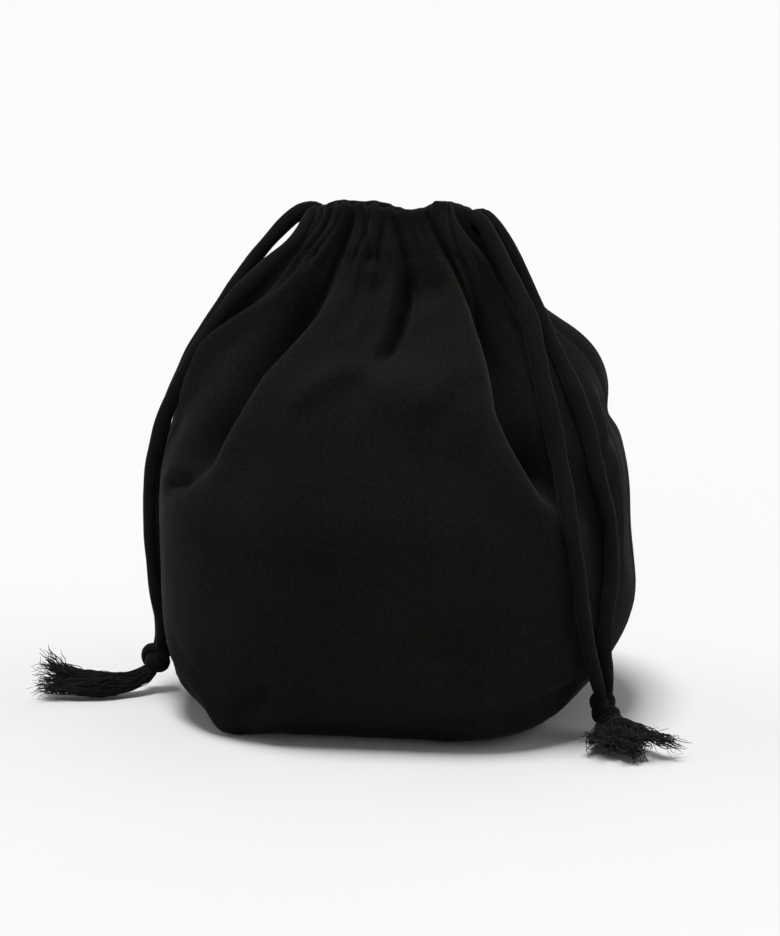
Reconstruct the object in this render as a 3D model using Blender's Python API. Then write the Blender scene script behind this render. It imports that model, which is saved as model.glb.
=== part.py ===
"""Drawstring pouch in black cotton, standing full, with its mouth gathered by two knotted cords.

Lengths are in metres and +Z is up. The pouch rests on z = 0 and its front faces -Y. A place round the cloth is
a share of the way round, from the right side seam at +X anticlockwise: 0.25 is the middle of the back, 0.5 the
left side seam and 0.75 the middle of the front.
"""

import math

import bpy
from mathutils import Vector

MM = 0.001

# The full pouch, outside, with its folds smoothed away
POUCH_WIDTH = 192 * MM
POUCH_DEPTH = 172 * MM
POUCH_HEIGHT = 205 * MM
BASE_WIDTH = 124 * MM
BASE_DEPTH = 122 * MM
BELLY_LOW = 55 * MM
BELLY_HIGH = 75 * MM
MOUTH_WIDTH = 76 * MM
MOUTH_DEPTH = 24 * MM
SIDE_SLOPE = 1.41
FRONT_SLOPE = 1.2
BASE_ROUNDNESS = 0.58
BELLY_ROUNDNESS = 0.9
CLOTH_WALL = 2.0 * MM

# The casing: the top of the cloth folded inwards and stitched down, with a tunnel that holds both cords
CASING_HEIGHT = 18 * MM
CASING_LAYER = 1.1 * MM
CORD_DIAMETER = 5.4 * MM
CORD_CLEARANCE = 0.4 * MM
CORD_SPACING = 6.4 * MM
EXIT_WIDTH = 21 * MM

# The gathers: small pleats that the cords pull up, deepest at the stitch line
GATHERS = 20
GATHER_DEPTH = 2.6 * MM
GATHER_REACH = 38 * MM
RIM_WAVE = 1.6 * MM

# The folded rim's rows: how far each lies below the crest, and the casing's straight part below the rim
RIM_OUTER_DROP = 2.0 * MM
RIM_SHOULDER_DROP = 0.4 * MM
RIM_INNER_SHOULDER_DROP = 0.6 * MM
RIM_INNER_DROP = 2.4 * MM
CASING_LIP = 5 * MM
TUNNEL_SINK = 0.5 * MM

# How finely the cloth is divided
COLUMNS = 80
BOTTOM_ROWS = 7
WALL_ROWS = 16
INNER_BOTTOM_ROWS = 4
INNER_WALL_ROWS = 9

# Each big fold runs from the gathers down the shoulder. Its places are shares round the cloth at the mouth, at
# its middle and at its foot, and its depth is how far its valley sinks and its ridge stands. A valley with a
# minus sign swells out
# name, at mouth, at middle, at foot, foot height, valley, ridge, half width, ridge side
FOLDS = (
    ("left_shoulder", 0.645, 0.625, 0.600, 96 * MM, 13 * MM, 5 * MM, 8.5 * MM, 1),
    ("front_pleat", 0.775, 0.765, 0.755, 146 * MM, 5 * MM, 2 * MM, 5 * MM, -1),
    ("right_shoulder", 0.905, 0.882, 0.886, 86 * MM, 19 * MM, 5 * MM, 11 * MM, -1),
    ("right_side", 0.950, 0.925, 0.925, 40 * MM, 5 * MM, 3 * MM, 12 * MM, 1),
    ("right_seam", 0.000, 0.988, 0.975, 120 * MM, 6 * MM, 2 * MM, 8 * MM, 1),
    ("right_exit", 0.998, 0.988, 0.965, 138 * MM, 7 * MM, 0 * MM, 10.5 * MM, 1),
    ("left_lobe", 0.515, 0.525, 0.525, 112 * MM, -3.5 * MM, 0 * MM, 13 * MM, 1),
    ("right_back", 0.060, 0.065, 0.075, 84 * MM, 10 * MM, 5 * MM, 9 * MM, 1),
    ("back_right", 0.170, 0.155, 0.150, 112 * MM, 8 * MM, 4 * MM, 7 * MM, -1),
    ("back_middle", 0.255, 0.262, 0.270, 92 * MM, 11 * MM, 5 * MM, 9 * MM, 1),
    ("back_left", 0.350, 0.360, 0.372, 108 * MM, 9 * MM, 4 * MM, 8 * MM, 1),
    ("left_back", 0.440, 0.440, 0.432, 86 * MM, 11 * MM, 5 * MM, 9 * MM, -1),
)
RIDGE_OFFSET = 1.9
RIDGE_WIDTH = 1.0

# Each cord's two hanging strands, from the knot up to the casing, as points chosen by hand
LEFT_FRONT_STRAND = (
    (-97.0, -9.0, 22.2), (-96.6, -11.0, 30.0), (-98.2, -14.0, 44.0), (-99.2, -17.0, 62.0),
    (-99.1, -19.1, 82.0), (-97.4, -19.1, 100.0), (-92.2, -18.2, 119.0), (-83.3, -16.2, 139.1),
    (-73.4, -14.2, 154.7), (-64.4, -12.2, 166.8), (-57.0, -9.8, 175.8), (-50.4, -8.2, 183.5),
    (-45.5, -6.1, 190.8), (-42.8, -5.0, 196.2), (-39.6, -4.3, 198.7),
)
LEFT_BACK_STRAND = (
    (-98.9, -3.0, 22.2), (-99.2, -1.6, 31.0), (-99.8, 0.5, 45.0), (-100.2, 2.0, 64.0),
    (-100.2, 3.0, 89.0), (-98.4, 4.0, 109.0), (-94.0, 5.0, 123.0), (-84.0, 5.6, 144.0),
    (-72.0, 5.6, 163.0), (-63.0, 5.6, 176.0), (-53.6, 5.4, 187.6), (-46.4, 4.8, 195.4),
    (-39.6, 4.3, 198.7),
)
RIGHT_FRONT_STRAND = (
    (88.4, -42.4, 16.6), (87.8, -47.4, 21.9), (86.6, -54.0, 29.8), (84.6, -58.4, 41.9),
    (82.5, -60.0, 55.5), (80.6, -61.4, 72.8), (78.0, -60.0, 89.5), (74.3, -53.6, 105.0),
    (70.3, -46.4, 119.5), (67.2, -40.8, 130.3), (63.6, -34.2, 141.0), (59.2, -26.4, 153.4),
    (55.3, -19.4, 165.0), (51.5, -12.8, 177.0), (48.9, -9.4, 184.0), (46.6, -6.6, 190.0),
    (43.4, -4.8, 192.6), (39.6, -4.3, 192.3),
)
RIGHT_BACK_STRAND = (
    (91.0, -37.2, 17.2), (90.7, -41.6, 24.2), (90.3, -46.4, 36.0), (91.3, -43.2, 51.7),
    (92.4, -39.0, 64.5), (91.2, -37.4, 84.5), (87.4, -37.4, 101.0), (81.6, -31.6, 121.0),
    (75.0, -25.0, 137.0), (66.0, -10.4, 154.0), (56.6, -3.6, 168.6), (52.2, -0.4, 177.0),
    (50.0, 1.2, 184.4), (48.9, 2.6, 190.2), (45.0, 4.0, 193.6), (39.6, 4.3, 192.3),
)
STRAND_STEP = 10 * MM
CASING_STEP = 0.05
END_STEP = 0.017
EXIT_SHARE = 0.080

# Each knot and its frayed tails, from the top of the knot to the tips: x, y, z and radius
LEFT_TASSEL = (
    (-98.0, -6.0, 20.8, 4.6), (-98.6, -6.3, 17.6, 6.4), (-99.6, -6.8, 13.6, 6.6), (-101.2, -7.6, 9.8, 5.2),
    (-104.0, -9.0, 6.8, 4.4), (-110.0, -11.5, 5.0, 4.4), (-120.0, -14.5, 4.9, 4.6), (-131.0, -17.0, 5.6, 5.2),
    (-140.0, -17.5, 7.0, 6.6), (-146.0, -17.0, 8.6, 7.8),
)
RIGHT_TASSEL = (
    (89.6, -39.6, 13.4, 4.6), (89.9, -39.9, 11.2, 6.4), (90.8, -41.0, 8.0, 7.0), (92.6, -45.0, 6.8, 6.2),
    (95.0, -51.0, 6.2, 5.8), (98.4, -58.0, 6.6, 6.2), (102.8, -64.6, 7.4, 7.0), (107.8, -70.0, 8.6, 8.2),
    (112.5, -73.5, 9.0, 8.6),
)
TASSEL_STEP = 2.4 * MM

# Boolean cutters reach this far past what they cut
CUT_PAST = 6 * MM

COTTON_BLACK = (0.012, 0.012, 0.011, 1.0)
CORD_BLACK = (0.016, 0.016, 0.015, 1.0)
TASSEL_BLACK = (0.022, 0.021, 0.020, 1.0)

CASING_THICKNESS = 2 * CASING_LAYER + CORD_DIAMETER + 2 * CORD_CLEARANCE
CASING_LINE = POUCH_HEIGHT - CASING_HEIGHT
TUNNEL_DEPTH = CASING_THICKNESS / 2
TUNNEL_WIDTH = CORD_DIAMETER + 2 * CORD_CLEARANCE
TUNNEL_HEIGHT = CORD_SPACING + CORD_DIAMETER + 3 * CORD_CLEARANCE
TUNNEL_Z = CASING_LINE + CASING_HEIGHT / 2 - TUNNEL_SINK
EXIT_HEIGHT = CORD_SPACING + CORD_DIAMETER + 2 * CORD_CLEARANCE
# The tunnel's section, as shares of its half width outwards and its half height upwards
TUNNEL_SECTION = ((1, 0.7), (0.6, 1), (-0.6, 1), (-1, 0.7), (-1, -0.7), (-0.6, -1), (0.6, -1), (1, -0.7))


def ease(t):
    """A share that leaves 0 and reaches 1 without a corner."""
    t = max(0.0, min(1.0, t))
    return t * t * (3 - 2 * t)


def half_size(z, base, belly, mouth, slope):
    """Half the width or depth of the smooth pouch at a height above the belly's lower edge, or at the base."""
    if z <= BELLY_LOW:
        rise = max(0.0, 1 - (1 - z / BELLY_LOW) ** 2)
        return base / 2 + (belly - base) / 2 * math.sqrt(rise)
    climb = max(0.0, (z - BELLY_HIGH) / (POUCH_HEIGHT - BELLY_HIGH))
    return belly / 2 + (mouth - belly) / 2 * ease(climb**slope)


def section_size(z):
    """Half width, half depth and corner radius of the smooth pouch at height z."""
    half_width = half_size(z, BASE_WIDTH, POUCH_WIDTH, MOUTH_WIDTH, SIDE_SLOPE)
    half_depth = half_size(z, BASE_DEPTH, POUCH_DEPTH, MOUTH_DEPTH, FRONT_SLOPE)
    low = BASE_ROUNDNESS + (BELLY_ROUNDNESS - BASE_ROUNDNESS) * ease(z / BELLY_LOW)
    roundness = low + (1 - BELLY_ROUNDNESS) * ease((z - BELLY_HIGH) / (POUCH_HEIGHT - BELLY_HIGH) * 2)
    return half_width, half_depth, min(half_width, half_depth) * roundness


def section_point(share, z):
    """A point on the rounded rectangle at height z and its outward normal, a share of the way round."""
    half_width, half_depth, radius = section_size(z)
    flat_x = half_width - radius
    flat_y = half_depth - radius
    quarter = math.pi * radius / 2
    run = (share % 1.0) * (4 * flat_x + 4 * flat_y + 4 * quarter)
    legs = (flat_y, quarter, 2 * flat_x, quarter, 2 * flat_y, quarter, 2 * flat_x, quarter, flat_y)
    leg = 0
    while leg < len(legs) - 1 and run > legs[leg]:
        run -= legs[leg]
        leg += 1
    if leg % 2:
        side_x, side_y = ((1, 1), (-1, 1), (-1, -1), (1, -1))[leg // 2]
        turn = (leg // 2) * math.pi / 2 + run / radius
        normal = Vector((math.cos(turn), math.sin(turn), 0))
        return Vector((side_x * flat_x, side_y * flat_y, z)) + normal * radius, normal
    corners = {
        0: Vector((half_width, run, z)),
        2: Vector((flat_x - run, half_depth, z)),
        4: Vector((-half_width, flat_y - run, z)),
        6: Vector((-flat_x + run, -half_depth, z)),
        8: Vector((half_width, run - flat_y, z)),
    }
    turn = (leg // 2) * math.pi / 2
    return corners[leg], Vector((math.cos(turn), math.sin(turn), 0))


def level_height(level):
    """Height at a level up the cloth: 0 to 1 rounds the bottom edge, and 1 to 2 climbs from the belly to the rim."""
    if level <= 1:
        return BELLY_LOW * (1 - math.cos(level * math.pi / 2))
    return BELLY_LOW + (POUCH_HEIGHT - BELLY_LOW) * (level - 1)


def height_level(z):
    """The level of a height above the belly's lower edge."""
    return 1 + (z - BELLY_LOW) / (POUCH_HEIGHT - BELLY_LOW)


def cloth_point(share, level, offset):
    """A point of the smooth pouch, moved by offset along its outward normal."""
    nudge = 0.002
    low, high = max(0.0, level - nudge), min(2.0, level + nudge)
    point, outward = section_point(share, level_height(level))
    upward = section_point(share, level_height(high))[0] - section_point(share, level_height(low))[0]
    around = Vector((-outward.y, outward.x, 0))
    normal = around.cross(upward).normalized()
    return point + normal * offset


def girth(z):
    """Length round the smooth pouch at height z."""
    half_width, half_depth, radius = section_size(z)
    return 4 * (half_width + half_depth - 2 * radius) + 2 * math.pi * radius


def fold_relief(fold, share, z):
    """How far one fold moves the cloth outwards at a place."""
    _, at_mouth, at_middle, at_foot, foot, valley, ridge, half_width, side = fold
    climb = (z - foot) / (CASING_LINE - foot)
    if climb <= 0:
        return 0.0
    climb = min(climb, 1.0)
    middle = 0.5
    if climb < middle:
        centre = at_foot + (at_middle - at_foot) * climb / middle
    else:
        centre = at_middle + (at_mouth - at_middle) * (climb - middle) / (1 - middle)
    away = (share - centre + 0.5) % 1.0 - 0.5
    narrowing = 0.55 + 0.45 * girth(z) / girth(BELLY_LOW)
    across = away * girth(z) / (half_width * narrowing)
    strength = ease(climb / 0.35) * (1 - 0.85 * ease((climb - 0.55) / 0.45))
    sink = -valley * math.exp(-(across**2))
    stand = ridge * math.exp(-(((across * side - RIDGE_OFFSET) / RIDGE_WIDTH) ** 2))
    return strength * (sink + stand)


def gather_relief(share, z):
    """How far the small pleats stand out: nothing on the wall, most at the stitch line, less at the rim."""
    below = (CASING_LINE - z) / GATHER_REACH
    if below > 1:
        return 0.0
    strength = 1 - ease(below) if below > 0 else 1 + 0.25 * below * GATHER_REACH / CASING_HEIGHT
    uneven = 0.75 + 0.25 * math.sin(share * 2 * math.pi * 3 + 1.0)
    wave = 0.5 + 0.5 * math.cos(share * 2 * math.pi * GATHERS)
    return GATHER_DEPTH * strength * uneven * wave


def relief(share, z):
    """How far the folds and gathers move the cloth outwards at a place."""
    return sum(fold_relief(fold, share, z) for fold in FOLDS) + gather_relief(share, z)


def rim_lift(share):
    """The rim's uneven height round the mouth."""
    return RIM_WAVE * math.sin(share * 2 * math.pi * 5 + 0.6) * math.sin(share * 2 * math.pi * 2 + 0.3)


def shares():
    return [column / COLUMNS for column in range(COLUMNS)]


def cloth_ring(level, offset, with_relief=True):
    """One row of points round the cloth."""
    z = level_height(level)
    row = []
    for share in shares():
        moved = relief(share, z) if with_relief else 0.0
        row.append(cloth_point(share, level, moved + offset))
    return row


def rim_ring(offset, drop):
    """One row of points round the folded rim, drop below its crest. Only the outermost row keeps the gathers."""
    row = []
    for share in shares():
        gathered = gather_relief(share, POUCH_HEIGHT) if offset == 0.0 else 0.0
        point = cloth_point(share, 2.0, offset + gathered)
        row.append(point + Vector((0, 0, rim_lift(share) - drop)))
    return row


def cloth_rings():
    """Rows from the base, up the outside, over the rim, down the casing's inner layer and on to the inner floor."""
    rings = [cloth_ring(row / BOTTOM_ROWS, 0.0) for row in range(BOTTOM_ROWS + 1)]
    top = height_level(CASING_LINE + CASING_HEIGHT * 0.75)
    line = height_level(CASING_LINE)
    for row in range(1, WALL_ROWS + 1):
        rings.append(cloth_ring(1 + (line - 1) * row / WALL_ROWS, 0.0))
    rings.append(cloth_ring((line * 2 + top) / 3, 0.0))
    rings.append(cloth_ring(top, 0.0))
    rings.append(rim_ring(0.0, RIM_OUTER_DROP))
    rings.append(rim_ring(-0.22 * CASING_THICKNESS, RIM_SHOULDER_DROP))
    rings.append(rim_ring(-0.5 * CASING_THICKNESS, 0.0))
    rings.append(rim_ring(-0.8 * CASING_THICKNESS, RIM_INNER_SHOULDER_DROP))
    rings.append(rim_ring(-CASING_THICKNESS, RIM_INNER_DROP))
    rings.append(cloth_ring(top, -CASING_THICKNESS, with_relief=False))
    rings.append(cloth_ring(line, -CASING_THICKNESS, with_relief=False))
    below = height_level(CASING_LINE - CASING_LIP)
    rings.append(cloth_ring(below, -CLOTH_WALL))
    for row in range(INNER_WALL_ROWS - 1, 0, -1):
        rings.append(cloth_ring(1 + (below - 1) * row / INNER_WALL_ROWS, -CLOTH_WALL))
    for row in range(INNER_BOTTOM_ROWS, -1, -1):
        rings.append(cloth_ring(row / INNER_BOTTOM_ROWS, -CLOTH_WALL))
    return rings


def add_object(name, mesh):
    new = bpy.data.objects.new(name, mesh)
    bpy.context.scene.collection.objects.link(new)
    return new


def lofted(name, rings, closed=False):
    """A mesh through rows of points. Its ends are faces, or meet when it is closed."""
    points = [point for ring in rings for point in ring]
    size = len(rings[0])
    faces = []
    for row in range(len(rings) if closed else len(rings) - 1):
        lower = row * size
        upper = (row + 1) % len(rings) * size
        for column in range(size):
            after = (column + 1) % size
            faces.append((lower + column, lower + after, upper + after, upper + column))
    if not closed:
        faces.append(tuple(reversed(range(size))))
        faces.append(tuple(range(len(points) - size, len(points))))
    mesh = bpy.data.meshes.new(name)
    mesh.from_pydata(points, [], faces)
    mesh.shade_smooth()
    mesh.set_sharp_from_angle(angle=math.radians(50))
    return add_object(name, mesh)


def make_cutter(obj):
    obj.hide_render = True
    obj.display_type = "WIRE"


def casing_point(share, z):
    """A point on the middle line of the casing's tunnel."""
    point = cloth_point(share, 2.0, -TUNNEL_DEPTH)
    point.z = z
    return point


def tunnel_cutter():
    """The ring-shaped hollow that holds both cords."""
    rings = []
    for share in shares():
        middle = casing_point(share, TUNNEL_Z)
        outward = section_point(share, POUCH_HEIGHT)[1]
        ring = []
        for across, up in reversed(TUNNEL_SECTION):
            side = outward * (across * TUNNEL_WIDTH / 2)
            ring.append(middle + side + Vector((0, 0, up * TUNNEL_HEIGHT / 2)))
        rings.append(ring)
    cutter = lofted("casing_tunnel_cutter", rings, closed=True)
    make_cutter(cutter)
    return cutter


def exit_cutter(name, side):
    """The slit in the side seam where a cord comes out of the casing."""
    inner = MOUTH_WIDTH / 2 - TUNNEL_DEPTH - TUNNEL_WIDTH / 2
    outer = MOUTH_WIDTH / 2 + GATHER_DEPTH + CUT_PAST
    rings = []
    for x in sorted((side * inner, side * outer)):
        half, high = EXIT_WIDTH / 2, EXIT_HEIGHT / 2
        corners = ((-half, -high), (half, -high), (half, high), (-half, high))
        rings.append([Vector((x, y, TUNNEL_Z + z)) for y, z in corners])
    cutter = lofted(name, rings)
    make_cutter(cutter)
    return cutter


def cut(obj, cutter):
    modifier = obj.modifiers.new(cutter.name, "BOOLEAN")
    modifier.operation = "DIFFERENCE"
    modifier.object = cutter


def cloth_material(name, colour, roughness):
    material = bpy.data.materials.new(name)
    material.use_nodes = True
    shader = material.node_tree.nodes["Principled BSDF"]
    shader.inputs["Base Color"].default_value = colour
    shader.inputs["Roughness"].default_value = roughness
    shader.inputs["Metallic"].default_value = 0.0
    return material


def pouch_body():
    """The sewn cloth: base, wall, gathers and casing in one piece, open at the mouth."""
    body = lofted("pouch_body", cloth_rings())
    cut(body, tunnel_cutter())
    cut(body, exit_cutter("right_exit_cutter", 1))
    cut(body, exit_cutter("left_exit_cutter", -1))
    body.data.materials.append(cloth_material("black_cotton_cloth", COTTON_BLACK, 0.95))


def smooth_line(points, step):
    """Points a step apart on a smooth curve through the given points, ends included."""
    points = [Vector(point) for point in points]
    padded = [points[0] * 2 - points[1]] + points + [points[-1] * 2 - points[-2]]
    fine = []
    for before, start, end, after in zip(padded, padded[1:], padded[2:], padded[3:]):
        for part in range(24):
            t = part / 24
            bend = 2 * before - 5 * start + 4 * end - after
            twist = 3 * start - before - 3 * end + after
            fine.append(start + (t * (end - before) + t * t * bend + t * t * t * twist) / 2)
    fine.append(points[-1])
    runs = [0.0]
    for start, end in zip(fine, fine[1:]):
        runs.append(runs[-1] + (end - start).length)
    count = max(2, round(runs[-1] / step))
    line = []
    index = 0
    for part in range(count + 1):
        run = runs[-1] * part / count
        while index < len(runs) - 2 and runs[index + 1] < run:
            index += 1
        t = (run - runs[index]) / (runs[index + 1] - runs[index])
        line.append(fine[index].lerp(fine[index + 1], min(1.0, t)))
    return line


def casing_run(exit_share, direction, z):
    """The cord's hidden way round the casing, from beside its exit to its other side, closer at the ends."""
    run = EXIT_SHARE
    points = []
    half_width, half_depth, radius = section_size(POUCH_HEIGHT)
    round_end = math.pi * radius / 2 / girth(POUCH_HEIGHT) + END_STEP
    while run < 1 - EXIT_SHARE:
        points.append(casing_point(exit_share + direction * run, z))
        near_end = min(run, 1 - run, abs(run - 0.5)) < round_end
        run += END_STEP if near_end else CASING_STEP
    points.append(casing_point(exit_share + direction * (1 - EXIT_SHARE), z))
    return points


def tube(name, points, radii, material):
    """A round tube along the points, as a curve with a bevel."""
    curve = bpy.data.curves.new(name, "CURVE")
    curve.dimensions = "3D"
    curve.bevel_depth = 1.0
    curve.bevel_resolution = 2
    curve.use_fill_caps = True
    spline = curve.splines.new("POLY")
    spline.points.add(len(points) - 1)
    for place, point, radius in zip(spline.points, points, radii):
        place.co = (*point, 1.0)
        place.radius = radius
    curve.materials.append(material)
    return add_object(name, curve)


def cord(name, front_strand, back_strand, exit_share, direction, z, material):
    """One cord: from the knot up its front strand, round the whole casing and down its back strand."""
    front = smooth_line([Vector(point) * MM for point in front_strand], STRAND_STEP)
    back = smooth_line([Vector(point) * MM for point in back_strand], STRAND_STEP)
    points = front + casing_run(exit_share, direction, z) + back[::-1]
    tube(name, points, [CORD_DIAMETER / 2] * len(points), material)


def tassel(name, places, material):
    """A knot with its frayed tails as one tapering solid."""
    line = smooth_line([Vector(place[:3]) * MM for place in places], TASSEL_STEP)
    stops = [Vector(place[:3]) * MM for place in places]
    radii = []
    for point in line:
        near = sorted(range(len(stops)), key=lambda index: (stops[index] - point).length)[:2]
        gaps = [(stops[index] - point).length for index in near]
        share = gaps[0] / (gaps[0] + gaps[1])
        first, second = places[near[0]][3], places[near[1]][3]
        radii.append((first + (second - first) * share) * MM)
    tube(name, line, radii, material)


def main():
    for obj in list(bpy.data.objects):
        bpy.data.objects.remove(obj, do_unlink=True)
    pouch_body()
    cord_cotton = cloth_material("black_cotton_cord", CORD_BLACK, 0.9)
    half_gap = CORD_SPACING / 2
    cord("right_cord", RIGHT_FRONT_STRAND, RIGHT_BACK_STRAND, 1.0, -1, TUNNEL_Z - half_gap, cord_cotton)
    cord("left_cord", LEFT_FRONT_STRAND, LEFT_BACK_STRAND, 0.5, 1, TUNNEL_Z + half_gap, cord_cotton)
    frayed_cotton = cloth_material("frayed_cotton", TASSEL_BLACK, 1.0)
    tassel("left_tassel", LEFT_TASSEL, frayed_cotton)
    tassel("right_tassel", RIGHT_TASSEL, frayed_cotton)


main()
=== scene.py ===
"""Looks of a black cotton drawstring pouch, standing full, its mouth gathered by two knotted cords."""

import math
import random

import bpy
import numpy as np
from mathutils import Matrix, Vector, noise


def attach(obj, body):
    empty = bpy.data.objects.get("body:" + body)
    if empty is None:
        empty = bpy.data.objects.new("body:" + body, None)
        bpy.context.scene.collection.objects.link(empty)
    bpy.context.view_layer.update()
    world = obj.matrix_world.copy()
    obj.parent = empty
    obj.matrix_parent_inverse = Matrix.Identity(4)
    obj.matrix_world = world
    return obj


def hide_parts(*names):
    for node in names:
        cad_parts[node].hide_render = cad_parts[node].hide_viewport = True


bl_info = {
    "name": "Drawstring Pouch",
    "version": (1, 0, 0),
    "blender": (4, 5, 0),
    "location": "View3D > Sidebar > Pouch",
    "description": "Sews, gathers and laces a black cotton drawstring pouch",
    "category": "Object",
}

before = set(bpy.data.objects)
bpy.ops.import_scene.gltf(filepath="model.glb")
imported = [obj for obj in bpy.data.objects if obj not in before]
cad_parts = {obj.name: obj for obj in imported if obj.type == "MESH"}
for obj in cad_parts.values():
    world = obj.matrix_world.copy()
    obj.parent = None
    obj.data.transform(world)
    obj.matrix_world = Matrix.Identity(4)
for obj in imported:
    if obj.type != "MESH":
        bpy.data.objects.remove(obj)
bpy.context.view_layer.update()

MM = 0.001
BODY = "root"

# The full pouch with its folds smoothed away, as its solid is built
POUCH_WIDTH = 192 * MM
POUCH_DEPTH = 172 * MM
POUCH_HEIGHT = 205 * MM
BASE_WIDTH = 124 * MM
BASE_DEPTH = 122 * MM
BELLY_LOW = 55 * MM
BELLY_HIGH = 75 * MM
MOUTH_WIDTH = 76 * MM
MOUTH_DEPTH = 24 * MM
SIDE_SLOPE = 1.41
FRONT_SLOPE = 1.2
BASE_ROUNDNESS = 0.58
BELLY_ROUNDNESS = 0.9
CASING_HEIGHT = 18 * MM
CASING_LINE = POUCH_HEIGHT - CASING_HEIGHT
CASING_THICKNESS = 8.4 * MM
TUNNEL_SINK = 0.5 * MM
TUNNEL_Z = CASING_LINE + CASING_HEIGHT / 2 - TUNNEL_SINK
CORD_SPACING = 6.4 * MM

# Big folds. First their places at the mouth, at the middle and at the foot, as shares round the cloth from
# the right side seam, anticlockwise. Then the foot's height, the valley's depth, the ridge's height, the half
# width, the ridge's side and its lean. The lengths in these tables are in millimetres
BIG_FOLDS = (
    (0.652, 0.627, 0.604, 94, 16, 5.0, 10.0, 1, 3.0),
    (0.580, 0.530, 0.515, 104, 4, 3.0, 6.0, 1, 1.0),
    (0.790, 0.772, 0.753, 144, 8, 2.8, 4.6, -1, 1.2),
    (0.902, 0.870, 0.902, 82, 22, 5.5, 12.0, -1, 4.5),
    (0.950, 0.925, 0.925, 40, 5, 2.5, 11, 1, 1.5),
    (0.060, 0.065, 0.075, 84, 10, 5.0, 8.5, 1, 2.5),
    (0.115, 0.110, 0.105, 140, 4, 1.8, 5.0, -1, 1.0),
    (0.170, 0.155, 0.150, 112, 8, 3.8, 6.5, -1, 2.0),
    (0.255, 0.262, 0.270, 92, 11, 4.5, 8.5, 1, 2.5),
    (0.305, 0.310, 0.312, 150, 4, 1.6, 4.5, -1, 1.0),
    (0.350, 0.360, 0.372, 108, 9, 4.0, 7.5, 1, 2.0),
    (0.440, 0.440, 0.432, 86, 11, 4.5, 8.5, -1, 2.5),
)
RIDGE_OFFSET = 1.75
RIDGE_WIDTH = 0.85

# Creases on the belly and the bottom: share and height at each end, depth and half width. A depth below zero
# makes a ridge
CREASES = (
    (0.605, 100, 0.568, 96, 3.4, 3.2),
    (0.652, 10, 0.684, 25, 5.0, 3.6),
    (0.580, 34, 0.640, 18, 1.8, 4.5),
    (0.560, 24, 0.615, 10, 1.4, 3.5),
    (0.798, 10, 0.850, 16, 2.8, 4.2),
    (0.846, 15, 0.910, 20, 3.4, 4.4),
    (0.785, 168, 0.760, 160, 2.0, 2.6),
    (0.684, 129, 0.726, 146, -2.0, 4.0),
    (0.738, 146, 0.770, 131, -2.0, 4.0),
    (0.785, 129, 0.830, 148, -2.0, 4.0),
    (0.700, 152, 0.758, 178, -1.4, 4.5),
    (0.838, 172, 0.782, 160, -1.6, 4.5),
    (0.985, 128, 0.955, 108, 1.8, 3.0),
    (0.975, 118, 0.968, 70, 1.4, 4.0),
    (0.958, 100, 0.955, 60, 1.2, 3.5),
    (0.700, 44, 0.790, 40, 0.9, 5.5),
    (0.710, 57, 0.770, 52, 0.6, 5.0),
    (0.868, 96, 0.862, 62, 1.2, 5.0),
    (0.120, 12, 0.180, 30, 2.6, 5.0),
    (0.330, 28, 0.400, 8, 3.0, 5.5),
    (0.220, 40, 0.300, 45, 1.0, 6.0),
    (0.070, 84, 0.085, 48, 1.4, 5.0),
    (0.430, 86, 0.415, 44, 1.4, 5.0),
)

# Pleats that the cords pull up at the front: places at the rim, at the stitch line and below it, then depth
# as a share, half width and reach below the stitch line. The rest of the way round is filled from one seed
FRONT_PLEATS = (
    (0.556, 0.566, 0.556, 0.7, 1.8, 26),
    (0.583, 0.590, 0.580, 0.9, 2.0, 22),
    (0.612, 0.609, 0.604, 0.5, 1.5, 12),
    (0.645, 0.655, 0.652, 1.15, 2.6, 34),
    (0.671, 0.716, 0.720, 1.0, 1.6, 7),
    (0.700, 0.690, 0.688, 0.4, 1.4, 8),
    (0.735, 0.731, 0.730, 0.9, 1.5, 8),
    (0.756, 0.776, 0.788, 1.5, 2.0, 26),
    (0.800, 0.806, 0.812, 0.4, 1.6, 10),
    (0.823, 0.829, 0.836, 0.5, 1.6, 14),
    (0.851, 0.858, 0.890, 1.6, 2.2, 42),
    (0.914, 0.882, 0.886, 0.8, 1.7, 14),
    (0.936, 0.960, 0.984, 1.2, 2.8, 30),
)
PLEAT_DEPTH = 3.6 * MM
PLEAT_TOP = 2.4 * MM
PLEAT_DRIFT = 30 * MM
SMALL_PLEATS = 64

# The rim's uneven height: share round the mouth and lift in millimetres
RIM_HEIGHTS = (
    (0.000, -3.0), (0.060, -2.0), (0.110, -1.4), (0.150, -2.2), (0.185, -4.0), (0.215, -4.8), (0.250, -3.6),
    (0.280, -2.4), (0.320, -1.4), (0.360, -1.8), (0.420, -1.2), (0.500, -2.6), (0.545, -1.6), (0.575, 0.3),
    (0.601, -0.8), (0.620, 0.5), (0.640, -0.9), (0.662, 0.6), (0.685, -1.0), (0.708, 0.5), (0.730, -1.6),
    (0.745, -1.2), (0.762, -2.8), (0.785, -1.9), (0.806, -2.6), (0.826, -1.6), (0.838, -1.9), (0.852, -0.6),
    (0.872, 1.6), (0.900, 1.4), (0.920, 0.4), (0.936, -0.6), (0.955, -1.2), (1.000, -3.0),
)
# The drawn cords pull the casing's width in by this share at the rim, from this height up
MOUTH_NARROWING = 0.20
NARROW_FROM = 184 * MM

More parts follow.
